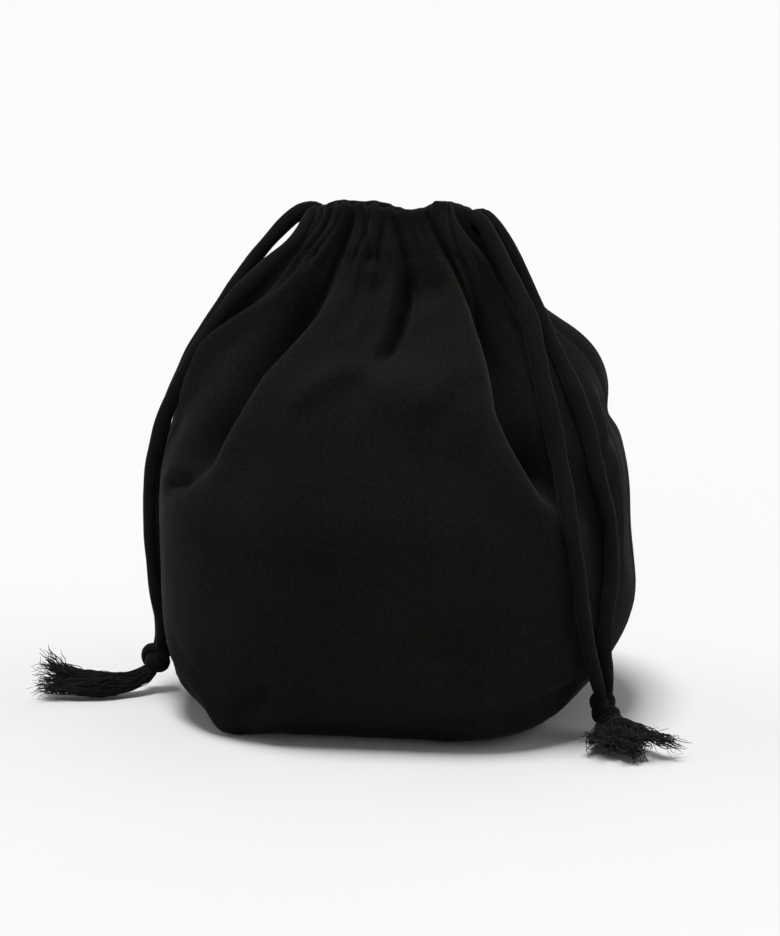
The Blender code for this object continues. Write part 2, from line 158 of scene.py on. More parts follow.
# Soft swellings: share, height, how far out, half width round the cloth and half height
BULGES = (
    (0.505, 140, 5.0, 14, 30),
    (0.530, 160, 2.5, 14, 20),
    (0.703, 140, 4.0, 11, 10),
    (0.730, 176, -4.2, 11, 8),
    (0.733, 138, -3.6, 8, 10),
    (0.784, 137, 4.4, 11, 10),
    (0.820, 175, -4.2, 9, 7),
    (0.745, 133, 7.0, 46, 15),
    (0.745, 168, -2.2, 30, 13),
    (0.548, 148, 4.5, 9, 20),
    (0.545, 118, -2.0, 12, 9),
    (0.690, 72, -1.2, 24, 9),
    (0.820, 60, 1.2, 20, 10),
    (0.040, 142, 7.5, 22, 18),
    (0.030, 121, -3.0, 22, 6),
    (0.000, 45, 4.0, 26, 22),
    (0.925, 12, -4.0, 26, 16),
    (0.635, 3, 5.5, 10, 8),
    (0.596, 12, -1.5, 9, 10),
    (0.892, 197, 3.0, 7.5, 10),
    (0.975, 160, -5.5, 12, 22),
)
SEAM_GROOVE = 0.7 * MM
SEAM_WIDTH = 1.6 * MM
STITCH_GROOVE = 0.22 * MM
STITCH_GROOVE_WIDTH = 1.3 * MM
FRILL = 1.5 * MM

# Slits where the cords leave the casing. NO_SLIT is a height that none of them reaches
EXIT_SHARES = (0.998, 0.508)
EXIT_HALF_WIDTH = 6.8 * MM
EXIT_HALF_HEIGHT = 4.6 * MM
EXIT_RISE = 1.5 * MM
NO_SLIT = POUCH_HEIGHT + 1.0

CLOTH_COLUMNS = 320
BASE_ROWS = 6
BOTTOM_ROWS = 22
WALL_ROWS = 62
SHOULDER_ROWS = 18
CASING_ROWS = 9
RIM_ROWS = 8
INNER_ROWS = 9
SHOULDER_Z = 172 * MM
LINE_Z = 190 * MM
CLOTH_THICKNESS = 0.8 * MM
CUT_WIDTH = 300 * MM

# The hanging strands, from the knot up to the exit, in millimetres
LEFT_FRONT_STRAND = (
    (-98.4, -8.2, 17.0), (-97.2, -9.0, 22.2), (-96.6, -11.0, 30.0), (-98.2, -14.0, 44.0),
    (-99.2, -17.0, 62.0), (-99.1, -19.1, 82.0), (-97.4, -19.6, 100.0), (-92.4, -19.8, 118.0),
    (-88.3, -20.0, 127.4), (-83.3, -19.5, 137.3), (-77.1, -19.0, 148.1), (-70.6, -17.6, 157.9),
    (-64.3, -15.8, 167.1), (-58.3, -14.4, 173.6), (-52.4, -13.0, 179.2), (-46.9, -11.6, 184.0),
    (-41.7, -10.4, 188.4), (-38.6, -9.4, 192.0), (-36.4, -8.0, 195.5), (-34.6, -6.0, 198.9),
    (-32.5, -4.0, 201.5),
)
LEFT_BACK_STRAND = (
    (-99.6, -6.0, 17.0), (-99.0, -3.6, 22.6), (-99.2, -1.6, 31.0), (-99.8, 0.5, 45.0),
    (-100.2, 2.0, 64.0), (-100.2, 3.0, 89.0), (-98.4, 4.0, 109.0), (-94.0, 5.0, 123.0),
    (-84.0, 5.6, 144.0), (-72.0, 5.6, 163.0), (-63.0, 5.6, 176.0), (-53.6, 5.4, 187.6),
    (-46.0, 4.9, 195.8), (-40.2, 4.4, 200.4), (-34.0, 4.0, 202.2),
)
RIGHT_FRONT_STRAND = (
    (90.2, -46.2, 11.6), (89.3, -47.4, 16.0), (87.9, -49.4, 22.4), (86.6, -54.0, 29.8),
    (84.6, -58.4, 41.9), (82.5, -60.0, 55.5), (80.6, -61.4, 72.8), (77.2, -60.5, 89.6),
    (73.8, -54.0, 105.2), (69.9, -47.0, 119.6), (67.0, -42.5, 130.6), (63.6, -36.5, 141.4),
    (60.0, -29.0, 153.9), (56.4, -22.5, 165.6), (52.4, -18.0, 172.5), (48.7, -14.5, 178.7),
    (44.8, -11.5, 185.4), (40.5, -9.5, 192.7), (36.9, -7.6, 198.7), (32.6, -5.2, 201.4),
    (28.6, -2.6, 199.6),
)
RIGHT_BACK_STRAND = (
    (91.0, -44.6, 11.8), (91.7, -43.4, 16.6), (91.0, -42.6, 24.2), (90.3, -46.4, 36.0),
    (91.3, -43.2, 51.7), (92.4, -39.0, 64.5), (91.2, -37.4, 84.5), (87.1, -38.0, 100.9),
    (81.6, -32.5, 121.0), (75.9, -27.0, 134.7), (70.4, -20.0, 144.2), (64.9, -13.0, 152.9),
    (60.4, -9.0, 161.5), (56.4, -5.5, 169.4), (53.0, -3.2, 176.2), (49.3, -1.6, 184.0),
    (44.6, -0.4, 191.4), (39.8, 0.6, 197.8), (35.4, 1.6, 200.9), (30.4, 2.0, 199.4),
)

# Frayed tails below the knots, in millimetres: a line, its share of the yarns, its bundle's radius and how
# far its end spreads
LEFT_TAILS = (
    ((
        (-100.0, -8.4, 11.5), (-102.4, -11.0, 8.6), (-105.4, -14.5, 6.4), (-110.5, -18.5, 5.0),
        (-119.0, -22.5, 4.6), (-129.0, -25.0, 4.8), (-138.5, -26.0, 5.2), (-147.0, -26.5, 6.0),
    ), 0.55, 4.3, 6.0),
    ((
        (-99.6, -7.8, 12.0), (-102.0, -9.8, 9.4), (-105.0, -12.6, 7.6), (-110.5, -16.0, 6.4),
        (-119.0, -19.5, 6.4), (-129.0, -21.5, 7.6), (-138.5, -22.0, 11.0), (-146.0, -22.0, 17.0),
    ), 0.45, 3.8, 7.5),
)
RIGHT_TAILS = (
    ((
        (92.4, -49.0, 7.6), (94.0, -54.5, 6.8), (96.4, -61.0, 6.6), (99.2, -67.5, 6.6),
        (102.4, -74.0, 6.2), (105.6, -79.5, 6.0), (108.4, -83.5, 5.8),
    ), 0.48, 6.4, 4.5),
    ((
        (92.8, -49.0, 8.0), (96.4, -54.5, 8.0), (101.4, -60.5, 8.0), (107.0, -66.5, 7.8),
        (112.6, -71.0, 7.4), (118.0, -74.5, 6.8), (122.6, -77.0, 6.4),
    ), 0.20, 2.8, 6.5),
    ((
        (91.4, -49.5, 7.4), (91.6, -56.0, 6.2), (92.4, -64.0, 5.8), (93.8, -72.0, 5.8),
        (94.8, -78.0, 6.0), (95.2, -83.0, 6.2),
    ), 0.16, 3.6, 5.5),
    ((
        (91.0, -49.5, 7.4), (89.8, -56.0, 6.4), (89.0, -64.0, 5.8), (88.6, -72.0, 6.0),
        (88.4, -79.0, 6.6),
    ), 0.16, 2.2, 6.5),
)
LEFT_KNOT = (-99.4, -7.6, 14.2)
RIGHT_KNOT = (90.5, -45.6, 11.0)

CORD_WIDTH = 6.0 * MM
CORD_THICKNESS = 4.9 * MM
HIDDEN_CORD_WIDTH = 5.2 * MM
HIDDEN_CORD_THICKNESS = 4.6 * MM
KNOT_SIZE = 1.6 * MM
YARN_STEPS = 30
YARN_SIDES = 4
YARN_CLEARANCE = 0.2 * MM
CORE_SIDES = 12
CORE_REACH = 0.74
CORE_FATNESS = 0.80
CORE_CLEARANCE = 0.3 * MM

CAMERA_AZIMUTH = math.radians(8)
CAMERA_ELEVATION = math.radians(12)
CAMERA_DISTANCE = 1.25
CAMERA_TARGET = (0, 0, 0.100)
CAMERA_LENS = 117.0
PICTURE_HEIGHT = 936
PICTURE_SHIFT = (-5, -9)

# Lamps: name, where it stands, strength and how many degrees wide it looks
LAMPS = (
    ("top_light", (-0.12, -0.04, 1.00), 2.75, 20),
    ("front_light", (-0.10, -1.00, 0.06), 0.42, 60),
    ("left_light", (-0.95, 0.30, 0.40), 0.70, 60),
    ("right_light", (0.95, 0.15, 0.40), 0.85, 60),
    ("back_light", (0.10, 0.95, 0.75), 0.40, 50),
)
AMBIENT_LIGHT = 0.12
BACKDROP = (0.956, 0.956, 0.956)
FLOOR_COLOUR = (0.64, 0.64, 0.64)
FLOOR_SEEN = (0.76, 0.76, 0.76)


class PouchSizes(bpy.types.PropertyGroup):
    cloth_columns: bpy.props.IntProperty(
        name="Cloth Columns", description="How many columns the cloth has", default=CLOTH_COLUMNS,
        min=80, max=400,
    )
    cloth_thickness: bpy.props.FloatProperty(
        name="Cloth Thickness", description="How thick the cotton is", default=CLOTH_THICKNESS,
        subtype="DISTANCE", unit="LENGTH",
    )
    stitch_length: bpy.props.FloatProperty(
        name="Stitch Length", description="Length of one stitch on the casing", default=2.4 * MM,
        subtype="DISTANCE", unit="LENGTH",
    )
    cloth_colour: bpy.props.FloatVectorProperty(
        name="Cloth Colour", description="Colour of the black cotton", default=(0.0105, 0.0102, 0.0096),
        subtype="COLOR", size=3, min=0, max=1,
    )


class CordSizes(bpy.types.PropertyGroup):
    width: bpy.props.FloatProperty(
        name="Cord Width", description="Width of the flat cord", default=CORD_WIDTH,
        subtype="DISTANCE", unit="LENGTH",
    )
    thickness: bpy.props.FloatProperty(
        name="Cord Thickness", description="Thickness of the flat cord", default=CORD_THICKNESS,
        subtype="DISTANCE", unit="LENGTH",
    )
    yarns: bpy.props.IntProperty(
        name="Tassel Yarns", description="How many yarns each frayed tail has", default=390, min=20, max=400
    )
    cord_colour: bpy.props.FloatVectorProperty(
        name="Cord Colour", description="Colour of the cotton cord", default=(0.0085, 0.0082, 0.0078),
        subtype="COLOR", size=3, min=0, max=1,
    )


def in_metres(*lengths):
    """Lengths in millimetres, as metres."""
    return tuple(length * MM for length in lengths)


def ease(t):
    """A share that leaves 0 and reaches 1 without a corner."""
    t = np.clip(t, 0.0, 1.0)
    return t * t * (3 - 2 * t)


def half_size(z, base, belly, mouth, slope):
    rise = np.maximum(0.0, 1 - (1 - np.minimum(z, BELLY_LOW) / BELLY_LOW) ** 2)
    low = base / 2 + (belly - base) / 2 * np.sqrt(rise)
    climb = np.maximum(0.0, (z - BELLY_HIGH) / (POUCH_HEIGHT - BELLY_HIGH))
    return low + (mouth - belly) / 2 * ease(climb**slope)


def section_size(z):
    """Half width, half depth and corner radius of the smooth pouch at height z."""
    half_width = half_size(z, BASE_WIDTH, POUCH_WIDTH, MOUTH_WIDTH, SIDE_SLOPE)
    half_depth = half_size(z, BASE_DEPTH, POUCH_DEPTH, MOUTH_DEPTH, FRONT_SLOPE)
    low = BASE_ROUNDNESS + (BELLY_ROUNDNESS - BASE_ROUNDNESS) * ease(z / BELLY_LOW)
    roundness = low + (1 - BELLY_ROUNDNESS) * ease((z - BELLY_HIGH) / (POUCH_HEIGHT - BELLY_HIGH) * 2)
    return half_width, half_depth, np.minimum(half_width, half_depth) * roundness


def section_points(share, z):
    """Points and outward normals on the smooth pouch, for arrays of shares and heights."""
    half_width, half_depth, radius = section_size(z)
    flat_x = half_width - radius
    flat_y = half_depth - radius
    quarter = math.pi * radius / 2
    turn = np.mod(share, 1.0) * 4
    side = np.minimum(np.floor(turn), 3)
    local = turn - side
    local = np.where(np.mod(side, 2) == 0, local, 1 - local)
    run = local * (flat_x + flat_y + quarter)
    angle = np.clip((run - flat_y) / radius, 0.0, math.pi / 2)
    x = flat_x + radius * np.cos(angle) - np.maximum(0.0, run - flat_y - quarter)
    y = np.minimum(run, flat_y) + radius * np.sin(angle)
    sign_x = np.where((side == 0) | (side == 3), 1.0, -1.0)
    sign_y = np.where(side < 2, 1.0, -1.0)
    points = np.stack([x * sign_x, y * sign_y, z + 0 * x], -1)
    normals = np.stack([np.cos(angle) * sign_x, np.sin(angle) * sign_y, 0 * x], -1)
    return points, normals


def level_height(level):
    low = BELLY_LOW * (1 - np.cos(np.minimum(level, 1.0) * math.pi / 2))
    return low + (POUCH_HEIGHT - BELLY_LOW) * np.maximum(0.0, level - 1)


def height_level(z):
    return 1 + (z - BELLY_LOW) / (POUCH_HEIGHT - BELLY_LOW)


def girth(z):
    half_width, half_depth, radius = section_size(z)
    return 4 * (half_width + half_depth - 2 * radius) + 2 * math.pi * radius


def unit(vectors):
    return vectors / np.maximum(np.linalg.norm(vectors, axis=-1, keepdims=True), 1e-12)


def smooth_cloth(share, level):
    """Points, true normals and around directions of the smooth pouch."""
    nudge = 0.002
    points, outward = section_points(share, level_height(level))
    above = section_points(share, level_height(np.minimum(2.0, level + nudge)))[0]
    below = section_points(share, level_height(np.maximum(0.0, level - nudge)))[0]
    around = np.stack([-outward[..., 1], outward[..., 0], 0 * outward[..., 0]], -1)
    return points, unit(np.cross(around, above - below)), around


def narrowing(z):
    """How far the drawn cords pull the casing's width in, as a share of it."""
    return 1 - MOUTH_NARROWING * ease((z - NARROW_FROM) / (POUCH_HEIGHT - NARROW_FROM))


def apart(share, centre):
    return np.mod(share - centre + 0.5, 1.0) - 0.5


def big_fold(fold, share, z):
    """Outward and sideways move of the cloth by one big fold."""
    at_mouth, at_middle, at_foot, foot, valley, ridge, half_width, side, lean = fold
    foot, valley, ridge, half_width, lean = in_metres(foot, valley, ridge, half_width, lean)
    climb = np.clip((z - foot) / (CASING_LINE - foot), 0.0, 1.0)
    lower = at_foot + (at_middle - at_foot) * ease(climb / 0.5)
    centre = np.where(climb < 0.5, lower, at_middle + (at_mouth - at_middle) * (climb - 0.5) / 0.5)
    tighter = 0.55 + 0.45 * girth(z) / girth(np.array(BELLY_LOW))
    across = apart(share, centre) * girth(z) / (half_width * tighter)
    strength = ease(climb / 0.32) * (1 - 0.82 * ease((climb - 0.66) / 0.34))
    sink = valley * np.exp(-np.abs(across) ** 1.7)
    away = across * side - RIDGE_OFFSET
    crest = np.exp(-np.abs(away / RIDGE_WIDTH) ** np.where(away < 0, 1.5, 1.9))
    outward = strength * (ridge * crest - sink)
    sideways = -side * lean * strength * np.exp(-(((across * side - RIDGE_OFFSET * 0.8) / 0.9) ** 2))
    return outward, sideways


def crease(places, share, z):
    """A soft groove with a raised lip, between two places on the cloth."""
    share_a, z_a, share_b, z_b, depth, half_width = places
    z_a, z_b, depth, half_width = in_metres(z_a, z_b, depth, half_width)
    around = girth(z)
    x, y = apart(share, share_a) * around, z - z_a
    end_x, end_y = apart(share_b, share_a) * around, z_b - z_a
    length = np.sqrt(end_x**2 + end_y**2)
    along = (x * end_x + y * end_y) / length**2
    across = (x * end_y - y * end_x) / length
    fade = ease((along + 0.25) / 0.5) * ease((1.25 - along) / 0.5)
    groove = np.exp(-np.abs(across / half_width) ** 1.6)
    lip = 0.55 * np.exp(-(((across - 1.7 * half_width) / (0.9 * half_width)) ** 2))
    return depth * fade * (lip - groove)


def pleat_table():
    """The pleats round the mouth: the front ones listed in FRONT_PLEATS, the others unevenly spaced from a
    fixed seed.
    """
    draw = random.Random(5)
    table = list(FRONT_PLEATS)
    place = 0.012
    while place < 0.545:
        drift = draw.uniform(-0.012, 0.012)
        lean = draw.uniform(-0.010, 0.010)
        depth = draw.choice((0.5, 0.8, 1.0, 1.3))
        half_width = draw.uniform(1.5, 2.7)
        reach = draw.uniform(14, 46)
        table.append((place, place + lean, place + lean + drift, depth, half_width, reach))
        place += draw.uniform(0.028, 0.052)
    return table


PLEATS = pleat_table()


def gathers(share, z):
    """The pleats that the cords pull up: full tops, tight valleys, deepest at the stitch line."""
    below = CASING_LINE - z
    in_casing = np.clip(-below / CASING_HEIGHT, 0.0, 1.0)
    moved = PLEAT_TOP * np.where(below > 0, 1 - ease(below / (24 * MM)), 1.0)
    around = girth(z)
    for at_rim, at_line, low, depth, half_width, reach in PLEATS:
        half_width, reach = in_metres(half_width, reach)
        centre = np.where(
            below > 0, at_line + (low - at_line) * np.clip(below / PLEAT_DRIFT, 0.0, 1.0),
            at_line + (at_rim - at_line) * in_casing,
        )
        strength = np.where(below > 0, 1 - ease(below / reach), 1 - 0.35 * in_casing)
        across = apart(share, centre) * around / (half_width * (1 + 0.5 * np.clip(below / reach, 0.0, 1.0)))
        moved = moved - PLEAT_DEPTH * depth * strength * np.exp(-np.abs(across) ** 1.35)
    return moved


def stitch_line(share, z):
    """The casing's stitched groove, its puckers and the soft tube above it."""
    away = (z - CASING_LINE) / STITCH_GROOVE_WIDTH
    groove = -STITCH_GROOVE * np.exp(-np.abs(away) ** 1.5)
    pucker = np.sin(share * 2 * math.pi * 57 + 3 * np.sin(share * 2 * math.pi * 9))
    pucker = 0.34 * MM * pucker * np.exp(-((away / 3.2) ** 2))
    tube = 0.3 * MM * np.sin(np.clip((z - CASING_LINE) / CASING_HEIGHT, 0.0, 1.0) * math.pi)
    return groove + pucker + tube


def small_pleats(share, z):
    """Finer, uneven pleats that run down from the gathers and die out on the shoulders."""
    draw = random.Random(11)
    moved = 0.0 * share
    for index in range(SMALL_PLEATS):
        centre = (index + draw.uniform(-0.4, 0.4)) / SMALL_PLEATS
        length = draw.uniform(18, 66) * MM
        depth = draw.uniform(0.3, 1.2) * MM
        half_width = draw.uniform(1.6, 3.4) * MM
        drift = draw.uniform(-0.012, 0.012)
        below = (CASING_LINE + 3 * MM - z) / length
        along = ease(below * 5) * ease(1 - below)
        across = apart(share, centre + drift * below) * girth(z) / half_width
        lips = 0.5 * np.exp(-((np.abs(across) - 1.7) ** 2))
        moved = moved + depth * along * (lips - np.exp(-(across**2)))
    return moved


def swelling(bulge, share, z):
    """A soft round swelling, or a dent where its height is below zero."""
    centre, height, out, half_width, half_height = bulge
    height, out, half_width, half_height = in_metres(height, out, half_width, half_height)
    across = apart(share, centre) * girth(z) / half_width
    return out * np.exp(-(across**2) - ((z - height) / half_height) ** 2)


def side_seams(share, z):
    """The pulled-in line of the two side seams."""
    moved = 0.0 * share
    for centre in (0.0, 0.5):
        across = apart(share, centre) * girth(z) / SEAM_WIDTH
        moved = moved - SEAM_GROOVE * np.exp(-(across**2)) * ease((CASING_LINE - z) / (8 * MM))
    return moved


def belly_softness(points):
    """Slow dents and faint wrinkles of cloth over soft stuffing."""
    moved = np.zeros(len(points))
    for index, (x, y, z) in enumerate(points):
        low = noise.noise(Vector((x * 16 + 3, y * 16, z * 13)))
        mid = noise.noise(Vector((x * 48, y * 48 + 7, z * 40)))
        fine = noise.noise(Vector((x * 130, y * 130, z * 95 + 5)))
        moved[index] = (1.1 * low + 0.35 * mid + 0.14 * fine) * MM
    return moved


def exit_hole(share, z):
    """Whether a place is in the slit where a cord leaves the casing."""
    inside = np.zeros(share.shape, bool)
    for centre in EXIT_SHARES:
        across = apart(share, centre) * girth(z) / EXIT_HALF_WIDTH
        up = (z - TUNNEL_Z - EXIT_RISE) / EXIT_HALF_HEIGHT
        inside |= across**2 + np.abs(up) ** 3 < 1
    return inside


def rim_lift(share):
    """The rim's uneven height, eased between the places in its table."""
    share = np.mod(share, 1.0)
    places = np.array([place for place, _ in RIM_HEIGHTS])
    lifts = np.array([lift for _, lift in RIM_HEIGHTS]) * MM
    index = np.clip(np.searchsorted(places, share, side="right") - 1, 0, len(places) - 2)
    t = (share - places[index]) / (places[index + 1] - places[index])
    return lifts[index] + (lifts[index + 1] - lifts[index]) * ease(t)


def add_mesh(name, points, faces, uv=None):
    mesh = bpy.data.meshes.new(name)
    mesh.from_pydata([tuple(point) for point in points], [], faces)
    mesh.shade_smooth()
    if uv is not None:
        layer = mesh.uv_layers.new(name="run")
        corners = np.empty(len(mesh.loops), np.int32)
        mesh.loops.foreach_get("vertex_index", corners)
        layer.data.foreach_set("uv", np.asarray(uv, np.float32)[corners].reshape(-1))
    new = bpy.data.objects.new(name, mesh)
    bpy.context.scene.collection.objects.link(new)
    return new


def apply_modifiers(obj):
    bpy.ops.object.select_all(action="DESELECT")
    obj.select_set(True)
    bpy.context.view_layer.objects.active = obj
    for modifier in list(obj.modifiers):
        bpy.ops.object.modifier_apply(modifier=modifier.name)
    obj.select_set(False)


def folded_cloth(share, level):
    """Points of the cloth at a level, with its folds, creases, pleats and dents, and the smooth normals."""
    z = level_height(level)
    points, normal, around = smooth_cloth(share, level)
    outward = gathers(share, z) + small_pleats(share, z) + side_seams(share, z) + stitch_line(share, z)
    sideways = 0.0 * share
    for fold in BIG_FOLDS:
        out, slid = big_fold(fold, share, z)
        outward = outward + out
        sideways = sideways + slid
    for places in CREASES:
        outward = outward + crease(places, share, z)
    for bulge in BULGES:
        outward = outward + swelling(bulge, share, z)
    outward = outward + belly_softness(points) * ease(z / (18 * MM)) * ease((POUCH_HEIGHT - z) / (40 * MM))
    outward = outward * ease(level * 4.5)
    points = points + normal * outward[:, None] + around * sideways[:, None]
    points[:, 0] *= narrowing(z)
    lift = rim_lift(share) * ease((z - LINE_Z) / (POUCH_HEIGHT - LINE_Z))
    points[:, 2] = np.maximum(points[:, 2], 0.0) + lift
    return points, normal


def wall_levels():
    """Levels of the rows from the bottom edge to the rim, closest together at the stitch line."""
    levels = [row / BOTTOM_ROWS for row in range(BOTTOM_ROWS)]
    stops = (1.0, float(height_level(SHOULDER_Z)), float(height_level(LINE_Z)), 2.0)
    for low, high, rows in zip(stops, stops[1:], (WALL_ROWS, SHOULDER_ROWS, CASING_ROWS)):
        levels += [low + (high - low) * row / rows for row in range(rows)]
    return levels


def cloth_sheet(columns):
    """Rows of points for one sheet: base, bottom edge, wall, casing, rim and the casing's inner layer.

    Each row also has the height at which exit_hole looks for a slit.
    """
    share = np.arange(columns) / columns
    rows, heights = [], []
    edge = smooth_cloth(share, np.zeros(columns))[0]
    for row in range(1, BASE_ROWS):
        rows.append(edge * (row / BASE_ROWS))
        heights.append(0.0)
    for level in wall_levels():
        points, _ = folded_cloth(share, np.full(columns, level))
        rows.append(points)
        heights.append(float(level_height(level)))
    rim, normal = folded_cloth(share, np.full(columns, 2.0))
    flat = unit(normal * np.array((1.0, 1.0, 0.0)))
    frill = FRILL * np.sin(share * 2 * math.pi * 13 + 2.5 * np.sin(share * 2 * math.pi * 4))
    crest = CASING_THICKNESS * 0.55
    for row in range(1, RIM_ROWS + 1):
        angle = math.pi * row / RIM_ROWS
        inward = crest / 2 * (1 - math.cos(angle))
        points = rim - flat * inward
        points[:, 2] += 1.6 * MM * math.sin(angle) ** 0.8
        rows.append(points)
        heights.append(POUCH_HEIGHT)
    inner_edge = rows[-1]
    for row in range(1, INNER_ROWS + 1):
        down = row / INNER_ROWS
        z = POUCH_HEIGHT - (CASING_HEIGHT - 3.0 * MM) * down
        layer, normal, _ = smooth_cloth(share, np.full(columns, float(height_level(z))))
        layer = layer - flat * (CASING_THICKNESS + 2 * frill * (1 - down))[:, None]
        layer[:, 0] *= narrowing(z)
        hanging = inner_edge - np.array((0.0, 0.0, POUCH_HEIGHT - z))
        layer[:, 2] = hanging[:, 2]
        rows.append(hanging + (layer - hanging) * ease(down * 1.8))
        heights.append(NO_SLIT)
    return share, rows, heights


def make_cloth():
    sizes = bpy.context.scene.pouch_sizes
    columns = sizes.cloth_columns
    share, rows, heights = cloth_sheet(columns)
    shares = np.tile(share, len(rows))
    cut = exit_hole(shares, np.repeat(heights, columns))
    faces = []
    for row in range(len(rows) - 1):
        low, high = row * columns, (row + 1) * columns
        for column in range(columns):
            after = (column + 1) % columns
            corners = (low + column, low + after, high + after, high + column)
            if not all(cut[corner] for corner in corners):
                faces.append(corners)
    faces.append(tuple(reversed(range(columns))))
    runs = [0.0]
    for before, points in zip(rows, rows[1:]):
        runs.append(runs[-1] + np.linalg.norm(points - before, axis=-1).mean())
    uv = np.stack([shares * CUT_WIDTH * 2, np.repeat(runs, columns)], -1)
    cloth = add_mesh("pouch_cloth", np.concatenate(rows), faces, uv)
    wall = cloth.modifiers.new("thickness", "SOLIDIFY")
    wall.thickness = sizes.cloth_thickness
    wall.offset = -1.0
    apply_modifiers(cloth)
    cloth.data.materials.append(cotton_cloth())
    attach(cloth, BODY)
    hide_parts("pouch_body")


def tube_faces(first, rings, sides, closed=False):
    """Faces of a tube whose rings of points follow each other, its ends capped unless it closes on itself."""
    faces = []
    for ring in range(rings if closed else rings - 1):
        low, high = first + ring * sides, first + (ring + 1) % rings * sides
        for side in range(sides):
            after = (side + 1) % sides
            faces.append((low + side, low + after, high + after, high + side))
    if not closed:
        faces.append(tuple(first + side for side in reversed(range(sides))))
        faces.append(tuple(first + (rings - 1) * sides + side for side in range(sides)))
    return faces


def make_stitching():
    """Small stitches sunk along the casing's seam, each a short rounded thread."""
    sizes = bpy.context.scene.pouch_sizes
    fine = np.arange(2000) / 2000
    level = np.full(2000, float(height_level(CASING_LINE)))
    line, normal = folded_cloth(fine, level)
    steps = np.linalg.norm(np.roll(line, -1, axis=0) - line, axis=-1)
    runs = np.concatenate([[0.0], np.cumsum(steps)])
    pitch = runs[-1] / round(runs[-1] / sizes.stitch_length)
    points, faces = [], []
    sides, rings = 6, 5
    for stitch in range(round(runs[-1] / pitch)):
        start = stitch * pitch
        first = len(points)
        for ring in range(rings):
            t = ring / (rings - 1)
            at = min(len(line) - 1, int(np.searchsorted(runs, start + pitch * (0.12 + 0.76 * t)) - 1))
            middle = Vector(line[at]) + Vector(normal[at]) * (0.16 * MM + 0.14 * MM * math.sin(math.pi * t))
            forward = Vector(line[(at + 2) % len(line)] - line[at - 2]).normalized()
            out = Vector(normal[at])
            across = forward.cross(out).normalized()
            radius = 0.15 * MM * (0.35 + 0.65 * math.sin(math.pi * (0.15 + 0.7 * t)))
            for side in range(sides):
                turn = 2 * math.pi * side / sides
                points.append(middle + (across * math.cos(turn) + out * math.sin(turn)) * radius)
        faces += tube_faces(first, rings, sides)
    thread = add_mesh("casing_stitching", points, faces, [(0.0, 0.0)] * len(points))
    thread.data.materials.append(cord_material())
    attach(thread, BODY)
    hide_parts("pouch_body")


def new_material(name):
    material = bpy.data.materials.new(name)
    material.use_nodes = True
    tree = material.node_tree
    return material, tree, tree.nodes["Principled BSDF"]


def node(tree, kind, **values):
    new = tree.nodes.new(kind)
    for name, value in values.items():
        if name in new.inputs:
            new.inputs[name].default_value = value
        else:
            setattr(new, name, value)
    return new


def ramp(tree, source, low, high, low_colour, high_colour):
    new = tree.nodes.new("ShaderNodeValToRGB")
    new.color_ramp.elements[0].position = low
    new.color_ramp.elements[1].position = high
    new.color_ramp.elements[0].color = (*low_colour, 1)
    new.color_ramp.elements[1].color = (*high_colour, 1)
    tree.links.new(source, new.inputs["Fac"])
    return new.outputs["Color"]


def math_node(tree, operation, first, second):
    new = tree.nodes.new("ShaderNodeMath")
    new.operation = operation
    for socket, value in zip(new.inputs, (first, second)):
        if isinstance(value, (int, float)):
            socket.default_value = value
        else:
            tree.links.new(value, socket)
    return new.outputs[0]


def multiplied(tree, first, second):
    mix = tree.nodes.new("ShaderNodeMix")
    mix.data_type = "RGBA"
    mix.blend_type = "MULTIPLY"
    mix.inputs["Factor"].default_value = 1.0
    tree.links.new(first, mix.inputs["A"])
    tree.links.new(second, mix.inputs["B"])
    return mix.outputs["Result"]


def thread_wave(tree, source, pitch):
    """A rounded thread profile that repeats every pitch along one coordinate."""
    turned = math_node(tree, "MULTIPLY", source, math.pi / pitch)
    return math_node(tree, "ABSOLUTE", math_node(tree, "SINE", turned, 0.0), 0.0)


